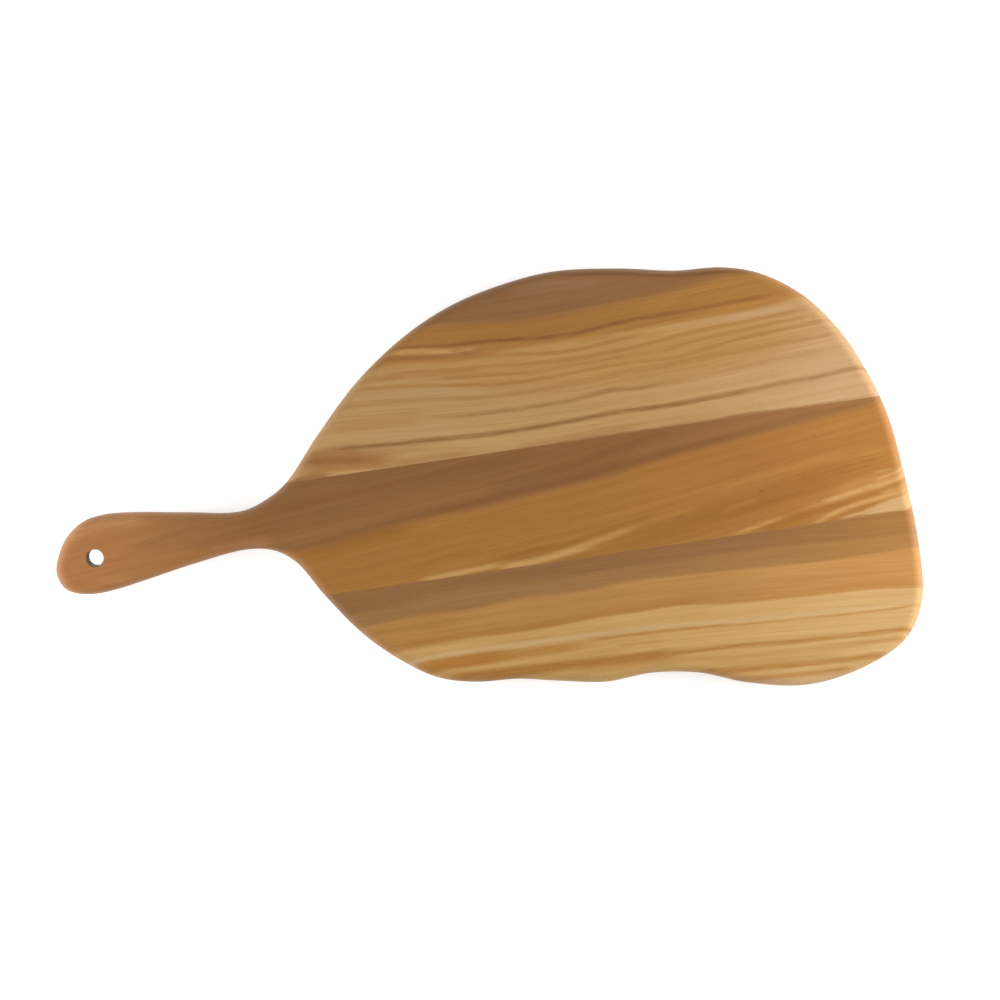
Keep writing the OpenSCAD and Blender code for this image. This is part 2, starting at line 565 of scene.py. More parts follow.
# %% Group: streak
PATCH_LENGTH = 14
PATCH_WIDTH = 1.6
PATCH_DETAIL = 2
PATCH_RANGE = (0.42, 0.68)

streak_group, given, result = new_group(
    "Wood streak",
    {"Along": 0, "Across": 0, "Path": 0, "Half width": 1, "Softness": 1, "From": -PLANK_REACH,
     "To": PLANK_REACH, "Fade": 12, "Broken": 0.3, "Seed": 0},
    ["Mark"],
)
tree = streak_group
gap = work_out(tree, "ABSOLUTE", minus(tree, given["Across"], given["Path"]))
inner = minus(tree, given["Half width"], given["Softness"])
outer = plus(tree, given["Half width"], given["Softness"])
body = minus(tree, 1, ease(tree, gap, inner, outer))
patch_x = per(tree, given["Along"], PATCH_LENGTH)
patch_y = per(tree, given["Across"], PATCH_WIDTH)
patches = noise_at(tree, patch_x, patch_y, given["Seed"], PATCH_DETAIL)
thin = times(tree, ease(tree, patches, *PATCH_RANGE), given["Broken"])
whole = times(tree, body, stretch(tree, given))
feed(tree, result["Mark"], times(tree, whole, minus(tree, 1, thin)))
print("group:", streak_group.name)

# %% Group: fleck
FLECK_CORE = 0.1

fleck_group, given, result = new_group(
    "Wood fleck",
    {"Along": 0, "Across": 0, "Place along": 0, "Place across": 0, "Half length": 3, "Half width": 1},
    ["Mark"],
)
tree = fleck_group
share_x = per(tree, minus(tree, given["Along"], given["Place along"]), given["Half length"])
share_y = per(tree, minus(tree, given["Across"], given["Place across"]), given["Half width"])
spread = plus(tree, work_out(tree, "POWER", share_x, 2), work_out(tree, "POWER", share_y, 2))
feed(tree, result["Mark"], minus(tree, 1, ease(tree, spread, FLECK_CORE, 1)))
print("group:", fleck_group.name)

# %% [markdown]
# ## Fibres, growth rings, pores and end grain
#
# Close up, planed wood is a bundle of tubes. Cut lengthwise they make fine light and dark fibres and short
# sunken dashes. Cut across, at the ends, the same tubes show as dots, and the wood drinks more oil there
# and goes darker. Every round gets a pale tint that is partly wear and partly painted sheen, and where the
# rounds turn toward an end, a second pale tint is painted sheen alone. Stretched noise makes the fibres,
# since it is long along the grain and narrow across it. Its contour lines make the faint growth rings
# between the bold ones, as height lines do on a map. Stretched Voronoi cells make the pores, which come out
# as dashes on the face and as dots on the end without any extra work.

# %% Group: fibres
FIBRE_SIZES = {"Cloud": (95, 13, 1), "Broad": (110, 3, 2), "Fine": (46, 0.9, 3), "Hair": (14, 0.26, 3)}
FIBRE_DEPTH = 6
GRAIN_INPUTS = {"Along": 0, "Across": 0, "Down": 0, "Seed": 0}


def stretched(tree, given, length, width, depth):
    """A place in noise whose hills come out that long, wide and deep in the wood."""
    down = plus(tree, per(tree, given["Down"], depth), given["Seed"])
    return per(tree, given["Along"], length), per(tree, given["Across"], width), down


fibres, given, result = new_group("Wood fibres", GRAIN_INPUTS, FIBRE_SIZES)
tree = fibres
for label, (length, width, detail) in FIBRE_SIZES.items():
    where = stretched(tree, given, length, width, FIBRE_DEPTH * width)
    feed(tree, result[label], noise_at(tree, *where, detail))
print("group:", fibres.name)

# %% Group: growth rings
RING_LENGTH = 420
RING_WIDTH = 13
RING_DEPTH = 4 * RING_WIDTH
RINGS_PER_HILL = 9
GROWTH_START = 0.45
GROWTH_END = 0.9

rings, given, result = new_group("Growth rings", GRAIN_INPUTS, ["Line"])
tree = rings
hills = noise_at(tree, *stretched(tree, given, RING_LENGTH, RING_WIDTH, RING_DEPTH), 1)
year = work_out(tree, "FRACT", times(tree, hills, RINGS_PER_HILL))
growth = ease(tree, year, GROWTH_START, GROWTH_END)
winter = ease(tree, year, GROWTH_END, 1)
feed(tree, result["Line"], times(tree, growth, minus(tree, 1, winter)))
print("group:", rings.name)

# %% Group: pores
PORE_LENGTH = 3.2
PORE_WIDTH = 0.34
DENT_RANGE = (0.12, 0.34)
OPEN_RANGE = (0.55, 0.8)

pores, given, result = new_group("Wood pores", GRAIN_INPUTS, ["Pore"])
tree = pores
where = stretched(tree, given, PORE_LENGTH, PORE_WIDTH, PORE_WIDTH)
cells = place(tree, "CombineXYZ", dict(enumerate(where))).outputs[0]
cell = place(tree, "TexVoronoi", {"Vector": cells, "Scale": 1, "Randomness": 1}).outputs
cell_draw = place(tree, "SeparateColor", {0: cell["Color"]}).outputs[0]
dent = minus(tree, 1, ease(tree, cell["Distance"], *DENT_RANGE))
feed(tree, result["Pore"], times(tree, dent, ease(tree, cell_draw, *OPEN_RANGE)))
print("group:", pores.name)

# %% Group: end grain
RIM_RANGE = (0.35, 0.98)

# besides End, two masks pick out every round and the rounds that turn toward an end; they carry a pale tint
# of wear and painted sheen, and one of painted sheen alone
end_grain, given, result = new_group("End grain", {"From": 0.45, "To": 0.9}, ["End", "Rim", "Painted end sheen"])
tree = end_grain
facing = place(tree, "SeparateXYZ", {0: place(tree, "TexCoord").outputs["Normal"]}).outputs
lengthwise = work_out(tree, "ABSOLUTE", facing["X"])
upright = work_out(tree, "ABSOLUTE", facing["Z"])
halfway = times(tree, times(tree, lengthwise, upright), 2)
feed(tree, result["End"], ease(tree, lengthwise, given["From"], given["To"]))
feed(tree, result["Rim"], minus(tree, 1, ease(tree, upright, *RIM_RANGE)))
feed(tree, result["Painted end sheen"], work_out(tree, "POWER", halfway, 2))
print("group:", end_grain.name)

# %% [markdown]
# ## Building one plank's material
#
# A plank is described as a ground colour and a list of marks, each laid over the last, as a painter would
# grain a door. The paths are read along the middle of the top face, in millimetres. One more path says how
# the fibres run, and the fine grain follows it. Fibres, pores, end grain, worn edges with a painted sheen,
# and satin finish are the same trade for every plank, so one function builds all three materials from
# three descriptions.

# %% The kinds of mark
PATH_REACH = 260
PATH_RISE = 140


def pencil(tree, along, path):
    """The height of a pencilled path at each place along the plank."""
    share = per(tree, plus(tree, along, PATH_REACH), 2 * PATH_REACH)
    curve = place(tree, "FloatCurve", {"Value": share})
    points = curve.mapping.curves[0].points
    while len(points) < len(path):
        points.new(0.5, 0.5)
    for point, (x, y) in zip(points, path):
        point.location = ((x + PATH_REACH) / (2 * PATH_REACH), (y + PATH_RISE) / (2 * PATH_RISE))
    curve.mapping.extend = "HORIZONTAL"
    curve.mapping.update()
    return work_out(tree, "MULTIPLY_ADD", curve.outputs[0], 2 * PATH_RISE, -PATH_RISE)


def border(path, colour, softness=2, strength=1, span=(-PLANK_REACH, PLANK_REACH), fade=60):
    """All the wood above a path turns to a colour, between two places along the plank."""
    feeds = {"Softness": softness, "From": span[0], "To": span[1], "Fade": fade}
    return border_group, path, colour, strength, feeds


def wash(colour, strength, span, fade):
    """The whole width of the plank turns to a colour, between two places along it."""
    return border([(-PATH_REACH, -PATH_RISE), (PATH_REACH, -PATH_RISE)], colour, 2, strength, span, fade)


def streak(path, colour, half_width=1, softness=0.8, strength=1, fade=14, broken=0.3):
    """A line of another colour along a path, which fades in and out at its two ends."""
    feeds = {"Half width": half_width, "Softness": softness, "Broken": broken}
    feeds |= {"From": path[0][0], "To": path[-1][0], "Fade": fade}
    return streak_group, path, colour, strength, feeds


def fleck(centre, colour, half_length=3, half_width=1, strength=1):
    """A short spot of another colour."""
    feeds = {"Place along": centre[0], "Place across": centre[1]}
    feeds |= {"Half length": half_length, "Half width": half_width}
    return fleck_group, None, colour, strength, feeds


print("paths reach", PATH_REACH, "mm either way along a plank and", PATH_RISE, "mm across")

# %% Laying the figure
SEED_STEP = 3.7


def draw_figure(tree, grain, ground, figure):
    """The plank's colour, with every mark laid over the ground in turn."""
    colour = place(tree, "RGB").outputs[0]
    colour.default_value = ground
    for number, (group, path, over, strength, feeds) in enumerate(figure):
        feeds = {**grain, **feeds}
        if path:
            feeds["Path"] = pencil(tree, grain["Along"], path)
        if group == streak_group:
            feeds["Seed"] = SEED_STEP * number
        share = times(tree, use(tree, group, feeds)["Mark"], strength)
        colour = tint(tree, colour, over, share)
    return colour


print("a figure may hold", border_group.name + ",", streak_group.name, "and", fleck_group.name)

# %% Fibres, wear, painted sheen and the satin skin
TONE_DEPTHS = {"Cloud": 0.10, "Broad": 0.12, "Fine": 0.14, "Hair": 0.10}
RING_SHADE = swatch(214, 190, 158)
RING_PATCHES = (0.35, 0.7)
END_SHADE = swatch(206, 182, 158)
END_SHARE = 0.3
# pale tints on the rounds: wear and painted sheen on every round, painted sheen alone on the rounds toward
# the ends; the pores' tint is their own dark colour
WEAR_AND_SHEEN_TINTS = {
    "Rim": (swatch(206, 170, 132), 0.18),
    "Painted end sheen": (swatch(203, 178, 170), 0.08),
    "Pore": (swatch(92, 58, 30), 0.18),
}
SATIN = 0.48
ROUGHENING = {"Fine": 0.12, "Pore": 0.14, "End": 0.12, "Rim": -0.05}
RELIEF = {"Fine": -0.012, "Hair": -0.010, "Broad": -0.02, "Pore": -0.03}


def weathered_and_sheened(tree, colour, signs, ring_depth):
    """The figure's colour with fine rings and fibres, what oil and wear do to it, and a painted sheen on the
    rounds.
    """
    patchy = times(tree, signs["Line"], ease(tree, signs["Cloud"], *RING_PATCHES))
    colour = stain(tree, colour, RING_SHADE, times(tree, patchy, ring_depth))
    for label, depth in TONE_DEPTHS.items():
        colour = toned(tree, colour, signs[label], depth)
    colour = stain(tree, colour, END_SHADE, times(tree, signs["End"], END_SHARE))
    for label, (over, share) in WEAR_AND_SHEEN_TINTS.items():
        colour = tint(tree, colour, over, times(tree, signs[label], share))
    return colour


def summed(tree, signs, shares, start):
    """start, plus each sign times its own share."""
    for label, share in shares.items():
        start = work_out(tree, "MULTIPLY_ADD", signs[label], share, start)
    return start


print("tinted by wear:", ", ".join(WEAR_AND_SHEEN_TINTS))

# %% The plank builder
FEATHER = 1.3
OIL_IOR = 1.45
OIL_SPECULAR = 0.42


def plank_material(name, ground, figure, flow, ring_slope, ring_curl, seed, ring_depth):
    """An oiled plank: its figure, then fibres, rings, pores, end grain, worn edges with painted sheen, and
    satin skin.
    """
    material, tree = new_material(name)
    grain = use(tree, grain_readings, {"Ring slope": ring_slope, "Ring curl": ring_curl, "Seed": seed})
    flowing = minus(tree, grain["Across"], pencil(tree, grain["Along"], flow))
    lengthwise = {"Along": grain["Along"], "Across": flowing, "Down": grain["Down"], "Seed": seed}
    signs = dict(use(tree, end_grain).items())
    for group in (fibres, rings, pores):
        signs.update(use(tree, group, lengthwise).items())
    stray = times(tree, minus(tree, signs["Fine"], 0.5), FEATHER)
    feathered = {"Along": grain["Along"], "Across": plus(tree, grain["Across"], stray)}
    colour = draw_figure(tree, feathered, ground, figure)
    height = summed(tree, signs, RELIEF, 0)
    oiled = place(tree, "BsdfPrincipled", {
        "Base Color": weathered_and_sheened(tree, colour, signs, ring_depth),
        "Roughness": summed(tree, signs, ROUGHENING, SATIN),
        "Normal": place(tree, "Bump", {"Height": height, "Distance": MM, "Strength": 1}).outputs[0],
        "IOR": OIL_IOR,
        "Specular IOR Level": OIL_SPECULAR,
    })
    place(tree, "OutputMaterial", {"Surface": oiled.outputs[0]})
    print(name, len(tree.nodes), "nodes,", len(figure), "marks")
    return material


print("the skin's roughness starts at", SATIN)

# %% [markdown]
# ## The upper stave
#
# Its outer edge is brown heartwood with a golden band, and the rest is pale sapwood ruled with thin brown
# lines. The lines lie close together next to the heartwood, where the tree grew slowly, and far apart near
# the joint.

# %% Colours and flow of the upper stave
SAPWOOD = swatch(179, 140, 88)
SAPWOOD_WARM = swatch(175, 132, 73)
SAPWOOD_PALE = swatch(185, 148, 105)
CREAM = swatch(192, 149, 89)
YEAR_LINE = swatch(158, 111, 55)
YEAR_LINE_DARK = swatch(137, 95, 49)
HEART_GOLD = swatch(156, 108, 48)
HEART_BROWN = swatch(134, 93, 54)
HEART_LINE = swatch(127, 78, 34)
HEART_PALE = swatch(163, 113, 53)
MAUVE = swatch(146, 105, 72)
PATCH_BROWN = swatch(154, 106, 55)
PATCH_CORE = swatch(140, 93, 47)
JOINT_STAIN = swatch(128, 86, 46)
RIM_PAINTED_SHADE = swatch(112, 72, 26)

upper_flow = [(-100, 2), (-60, 1), (-20, -2), (20, -4.5), (60, -4.5), (100, -3), (160, 0), (240, 5)]

print("upper stave: flow given at", len(upper_flow), "places")

# %% Sapwood of the upper stave
upper_sapwood = [
    # the far end paler, painted light from the right soft box, and the warmer sapwood near the heart
    wash(SAPWOOD_PALE, 1, (120, 500), 110),
    border([(-100, 96), (-50, 86), (-20, 80), (15, 68), (60, 61), (130, 60), (180, 64), (240, 72)],
           SAPWOOD_WARM, 13, 0.9, (-PLANK_REACH, 260), 110),
    streak([(-80, 50), (-50, 49), (-20, 48.5), (10, 48)], SAPWOOD_PALE, 4.5, 3.5, 0.2, 24, 0),
    streak([(-72, 75.5), (-50, 74), (-20, 71.5), (5, 68.4), (25, 66.8)], SAPWOOD_PALE, 2.4, 2, 0.4, 20, 0.2),
    streak([(-84, 60), (-60, 59), (-40, 58.5), (-18, 57.4)], YEAR_LINE, 4, 3, 0.42, 16, 0.2),
    # the stain by the neck, and the pale and golden bands along the joint
    streak([(-110, 38), (-90, 37.7), (-70, 37.4), (-50, 36.4), (-34, 35.6)],
           PATCH_BROWN, 4.8, 3, 0.85, 24, 0.2),
    streak([(-106, 45.2), (-94, 44.2), (-80, 43.5), (-66, 42.5), (-54, 41.6)], PATCH_BROWN, 3, 2.4, 0.85, 18),
    streak([(-104, 41.8), (-90, 40.6), (-72, 38.6), (-60, 37.8), (-52, 37.6)],
           PATCH_CORE, 1.8, 1.5, 0.8, 16, 0.2),
    fleck((-34, 39), PATCH_CORE, 12, 2, 0.12),
    streak([(-90, 33.6), (-82, 32.9), (-70, 32), (-56, 31.2)], CREAM, 1.1, 1, 0.7, 10),
    streak([(-50, 33.5), (-33, 33.2), (-12, 33.2), (4, 33)], PATCH_BROWN, 1.9, 1.5, 0.55, 14),
    streak([(20, 33), (40, 33), (60, 33.4), (80, 33.8), (108, 34.6)], PATCH_BROWN, 1.7, 1.5, 0.5, 18),
    streak([(55, 34.6), (80, 36), (110, 35.4), (135, 36.4)], YEAR_LINE, 0.7, 0.7, 0.3),
    # the bold year lines, from the joint outward
    streak([(-92, 47.6), (-80, 47), (-60, 45.4), (-40, 44.3), (-20, 43.6), (0, 42.4), (20, 42), (40, 42.2),
            (60, 42.9), (70, 43.3), (80, 43.9), (95, 44), (110, 43.4), (125, 43.5), (140, 44.3), (160, 45.2),
            (180, 46.3)], YEAR_LINE_DARK, 1.35, 1, 0.95, 26, 0.35),
    streak([(156, 45), (168, 45.5), (180, 46.3), (200, 47.1), (220, 48.7), (240, 50), (260, 51)],
           YEAR_LINE_DARK, 1.4, 1.1, 0.62, 20, 0.35),
    streak([(-32, 58), (-20, 56.6), (-10, 55.6), (0, 54.9), (20, 54.3), (45, 54.1), (60, 54.6), (75, 56.1),
            (87, 57.2), (100, 56), (115, 56.5), (130, 57)], YEAR_LINE_DARK, 1.2, 1, 0.68, 26, 0.35),
    streak([(100, 56.6), (130, 57.6), (160, 59.8), (190, 60.8), (225, 62)], YEAR_LINE, 2.2, 2, 0.35, 26, 0.2),
    streak([(-80, 70.2), (-60, 69.6), (-40, 68.8), (-20, 67.4), (0, 64.8), (20, 63.6), (40, 63.3), (60, 63.6),
            (80, 64.6), (100, 66), (120, 66.6), (140, 67.8), (170, 69), (200, 70.4), (222, 71)],
           YEAR_LINE, 1.2, 1.1, 0.5, 12, 0.4),
    streak([(-64, 79), (-50, 78), (-40, 77.3), (-20, 75.2), (0, 72.4), (20, 70), (40, 69.6), (60, 70),
            (80, 71), (100, 70.9), (120, 70.7), (140, 72.4), (160, 75.4), (180, 76.9), (200, 78.3),
            (218, 79.4)], YEAR_LINE, 1.1, 0.9, 0.8, 10, 0.4),
    streak([(-62, 83.4), (-45, 83), (-30, 83.2), (-15, 82.4), (0, 81.2), (16, 80.4)],
           YEAR_LINE, 1.9, 1.4, 0.75, 12),
    streak([(-20, 79.4), (0, 77.2), (20, 75.8), (40, 74.1), (60, 74.7), (80, 75), (100, 75.4), (120, 76),
            (140, 78.6), (165, 80.2), (190, 82.2), (210, 83.8)], YEAR_LINE, 1.1, 1, 0.7, 16, 0.4),
    streak([(-4, 82), (15, 81.2), (30, 80.1), (45, 79), (60, 78.4), (80, 78.6), (100, 79.6), (120, 82),
            (140, 83.8), (165, 85.2), (190, 86.3), (207, 87.4)], YEAR_LINE, 1.2, 1, 0.78, 14, 0.4),
    streak([(2, 87), (20, 86.6), (35, 85.6), (50, 83.8), (62, 83.2), (80, 84.2), (95, 85.8), (112, 86.6)],
           YEAR_LINE, 1.2, 0.9, 0.85, 14, 0.4),
]
print(len(upper_sapwood), "marks in its sapwood")

# %% Heartwood of the upper stave
upper_heartwood = [
    # the crowded lines where sapwood turns to heartwood
    border([(-60, 90), (-45, 90), (-30, 89.4), (-20, 88.4), (-10, 87.2), (0, 86.4), (15, 87), (30, 88.6),
            (50, 88.6), (60, 88.6), (75, 88.8), (90, 89.4), (110, 89.6), (140, 90), (160, 90.4), (180, 92),
            (200, 95)], HEART_PALE, 3, 0.95),
    streak([(112, 87.6), (130, 87.8), (145, 88.4), (165, 88.8)], SAPWOOD_PALE, 1.9, 1.6, 0.3, 16, 0.2),
    streak([(146, 88.3), (160, 88.6), (180, 89.2), (205, 90.6)], SAPWOOD_PALE, 1.8, 1.6, 0.8, 20, 0.2),
    streak([(64, 87), (76, 87.8), (94, 88.4)], YEAR_LINE, 1.3, 1, 0.5, 8, 0.2),
    streak([(-44, 97), (-30, 96.2), (-15, 94.5), (-5, 92.9), (3, 92.4), (14, 92.7)],
           CREAM, 1.3, 1, 0.9, 12, 0.4),
    streak([(-50, 95), (-38, 93.8), (-20, 91.4), (-5, 90.4), (8, 90), (18, 90)],
           YEAR_LINE_DARK, 1.2, 1, 0.75, 12),
    fleck((4, 91), YEAR_LINE_DARK, 3, 0.9, 0.5),
    streak([(80, 89.8), (100, 91), (118, 92.4), (135, 93.2), (160, 94)],
           YEAR_LINE_DARK, 0.9, 0.9, 0.45, 16, 0.4),
    # the heartwood, its dark edge, its brown back and a painted shade along the upper rim
    border([(-60, 101), (-36, 99.6), (-20, 97.8), (-5, 95.4), (10, 95), (20, 94.6), (40, 93.4), (60, 92.2),
            (75, 93), (90, 94.8), (110, 95.8), (140, 96.2), (165, 97), (200, 99)], HEART_GOLD, 1.6),
    border([(-60, 114), (-20, 111), (0, 108), (20, 105.8), (40, 104.2), (60, 104.4), (80, 105.8),
            (100, 106.8), (115, 107.6), (130, 108.8), (145, 110.5), (165, 113)],
           HEART_BROWN, 6, 1, (-PLANK_REACH, 195), 60),
    streak([(30, 121), (50, 122.5), (65, 122), (80, 120.5), (95, 117.5)], MAUVE, 3.5, 2.5, 0.7, 14),
    # painted shade: a dark band along the upper rim, the round that faces away from the end lamps
    streak([(62, 127.6), (75, 127), (90, 125.4), (105, 122.8), (120, 119.8), (135, 117.8), (150, 116.8),
            (165, 116), (180, 113.4)], RIM_PAINTED_SHADE, 1.3, 1.3, 0.8, 16, 0.2),
    streak([(-42, 101), (-36, 99.9), (-20, 98), (-8, 96.4), (4, 95.8), (14, 95)],
           HEART_LINE, 0.9, 0.9, 0.55, 10),
    streak([(-8, 96.6), (10, 95.8), (20, 95.3), (30, 94.6), (40, 93.8), (52, 92.8), (62, 92.4), (72, 92.8),
            (82, 93.9), (95, 95.1), (110, 95.8), (125, 96), (140, 96.4)],
           HEART_LINE, 1.3, 1.1, 0.85, 24, 0.5),
    streak([(110, 95.8), (125, 96), (140, 96.4), (158, 97.2), (175, 97.8), (190, 98.4)],
           HEART_LINE, 1.1, 1, 0.65, 16),
]
print(len(upper_heartwood), "marks in its heartwood")

# %% Last touches on the upper stave, and its material
upper_touches = [
    # old glue and dust in the last half millimetre before the joint
    streak([(10, 31), (60, 31.3), (110, 31.3), (160, 31.6), (250, 31.6)],
           JOINT_STAIN, 0.7, 0.6, 0.7, 50, 0.4),
    streak([(144, 31.5), (161, 31.9), (178, 31.5)], JOINT_STAIN, 0.9, 0.8, 0.55, 9, 0),
    # a brown patch beside the joint at the neck, and a pause in the cream line
    streak([(-116, 31.2), (-104, 31.7), (-96, 32), (-89, 31.6), (-81, 31)], PATCH_CORE, 1.7, 1.5, 0.7, 8, 0),
    fleck((0, 93.2), YEAR_LINE, 7, 2, 0.55),
]
upper_figure = upper_sapwood + upper_heartwood + upper_touches
UPPER_CUT = {"ring_slope": 0.7, "ring_curl": 0.01, "seed": 1.3, "ring_depth": 0.18}
upper_wood = plank_material("Oiled plank, sapwood", SAPWOOD, upper_figure, upper_flow, **UPPER_CUT)
finish_with(upper_stave, upper_wood)

# %% [markdown]
# ## The middle stave
#
# The handle's plank is heartwood. Its grain climbs from the handle to the far end by a few degrees, so the
# brown wood along the upper joint narrows to a wedge, and pale slivers run out of the lower joint.

# %% Colours, flow and brown edge of the middle stave
GOLD = swatch(157, 106, 45)
GOLD_FAR_LIT = swatch(162, 110, 50)
GOLD_DEEP = swatch(145, 95, 33)
BROWN = swatch(131, 88, 47)
BROWN_FAR_LIT = swatch(144, 99, 54)
BROWN_DARK = swatch(121, 77, 38)
BROWN_PALE = swatch(144, 100, 54)
SLIVER = swatch(182, 134, 72)
SLIVER_PALE = swatch(192, 148, 89)
SLIVER_WHITE = swatch(191, 153, 103)
SLIVER_FAINT = swatch(168, 118, 56)
HANDLE_TAN_LIT = swatch(158, 106, 59)
HANDLE_PALE = swatch(174, 123, 78)

middle_flow = [(-PATH_REACH, -20), (0, 5), (PATH_REACH, 38)]

brown_edge = [
    (-250, 6), (-230, 2), (-210, -1), (-190, 0), (-175, 1), (-160, -2), (-150, -4.5), (-140, -7), (-110, -9),
    (-90, -8), (-70, -5), (-50, -2.6), (-30, -0.8), (0, 0.4), (20, 2.6), (40, 4.6), (60, 6.2), (80, 8.4),
    (100, 12.2), (120, 14.8), (140, 17), (160, 19), (180, 21), (200, 23), (220, 25.5), (240, 27.5),
]

print("brown edge drawn through", len(brown_edge), "points")

# %% Brown wood and handle of the middle stave
middle_brown = [
    # the far end paler, painted light from the right soft box, and the brown wood along the upper joint,
    # which also fills the handle
    wash(GOLD_FAR_LIT, 0.8, (140, 500), 90),
    streak([(40, -36), (90, -30), (130, -25), (160, -20), (190, -13), (220, -7), (250, -1)],
           GOLD_DEEP, 6, 4.5, 0.55, 60, 0),
    streak([(-120, -14), (-90, -11), (-70, -8), (-50, -6), (-30, -3.6)], GOLD_DEEP, 4, 3.5, 0.8, 24, 0),
    border(brown_edge, BROWN, 5.5),
    # painted light again: the brown wood paler toward the far end, and the handle paler toward its tip, where
    # the left soft box stands
    border(brown_edge, BROWN_FAR_LIT, 5.5, 1, (110, 500), 80),
    wash(HANDLE_TAN_LIT, 1, (-PLANK_REACH, -120), 95),
    streak([(-150, 2), (-130, 0), (-110, 0), (-90, 0.5), (-70, 3), (-50, 6), (-30, 9), (-10, 10), (20, 11)],
           BROWN_PALE, 4.5, 3, 0.6, 20),
    streak([(-130, 16), (-110, 17), (-90, 18), (-70, 19.5), (-50, 21), (-30, 22.5), (-10, 24.5), (10, 26),
            (30, 28), (50, 30.5)], BROWN_DARK, 2.2, 1.8, 0.55, 24),
    streak([(-50, 0.6), (-30, 2), (-10, 3), (0, 4.2), (15, 6), (30, 7.2), (45, 8), (60, 9.5), (75, 12),
            (90, 13.5), (105, 15), (120, 17), (140, 19.5), (160, 21.5), (180, 24.5)],
           BROWN_DARK, 1.6, 1.4, 0.6, 40),
    streak([(140, 19.5), (160, 21.5), (180, 24.5), (195, 26.5), (215, 27.5), (235, 29.5)],
           BROWN, 1.4, 1.2, 0.6, 16),
    streak([(30, 14), (60, 18), (80, 22), (100, 26), (120, 29.5)], BROWN_DARK, 2, 1.7, 0.55, 20),
    streak([(85, 17.5), (100, 19.5), (120, 22), (140, 24.5), (165, 27.5), (185, 30)],
           BROWN_PALE, 1.8, 1.5, 0.5, 16),
    # the handle's own streaks
    streak([(-248, 10), (-238, 17), (-226, 21.2), (-206, 23), (-190, 21.5)], HANDLE_PALE, 3, 2.4, 0.8, 12),
    streak([(-215, 7), (-198, 7.5), (-182, 10.5), (-165, 12.5), (-148, 13)], BROWN, 2.2, 1.8, 0.55, 20),
    streak([(-232, -8), (-215, -10), (-200, -11)], HANDLE_PALE, 2, 1.6, 0.4, 12),
    streak([(-168, -2), (-150, -1), (-135, -0.6), (-118, -2)], HANDLE_PALE, 2.6, 2.2, 0.5, 14),
]
print(len(middle_brown), "marks in the brown wood and the handle")

# %% Slivers of the middle stave
middle_slivers = [
    # deep gold lines and pale slivers that run out of the lower joint
    streak([(-58, -29), (-45, -28), (-35, -27), (-25, -25.5), (-10, -25), (0, -24.5)],
           GOLD_DEEP, 1.2, 1, 0.5, 16),
    streak([(0, -30), (15, -29.5), (25, -28.5), (40, -28), (50, -27.4), (60, -25), (75, -22.5), (90, -20),
            (105, -17)], GOLD_DEEP, 1.5, 1.2, 0.85, 16),
    streak([(-46, -37), (-34, -36.1), (-20, -35.5), (-10, -34.8), (0, -34.3), (14, -33.6)],
           SLIVER_PALE, 1.5, 1.1, 0.9, 16, 0.3),
    streak([(0, -36.6), (8, -35.9), (14, -35.6), (20, -35.3), (32, -34.5), (42, -33), (50, -31.9),
            (58, -30.7), (68, -29.4)], SLIVER_PALE, 1.9, 1.5, 0.95, 15, 0.2),
    streak([(40, -33.2), (48, -31.4), (56, -29.8), (70, -27.6), (82, -25), (96, -22.6)],
           SLIVER, 1.7, 1.4, 0.85, 20, 0.4),
    streak([(136, -22.8), (150, -19.8), (164, -17.4)], SLIVER_FAINT, 1, 1, 0.55, 8),
    streak([(90, -22.6), (110, -19.6), (126, -17.2)], SLIVER_FAINT, 1.1, 1, 0.6, 12),
    streak([(128, -14.5), (140, -11), (155, -8), (170, -6), (185, -3.8), (198, -1), (212, -0.2), (232, 0.6),
            (250, 2)], SLIVER_FAINT, 2, 1.8, 0.7, 20),
    streak([(138, -37.5), (145, -36.3), (152, -34.7), (160, -32.8), (168, -31.6), (178, -30.4)],
           SLIVER, 1.4, 1.1, 0.9, 14, 0.5),
    streak([(158, -36.4), (170, -34.6), (180, -32.6), (194, -30.6)], GOLD_DEEP, 2, 1.5, 0.75, 10, 0.2),
]
print(len(middle_slivers), "lines and slivers along the lower joint")

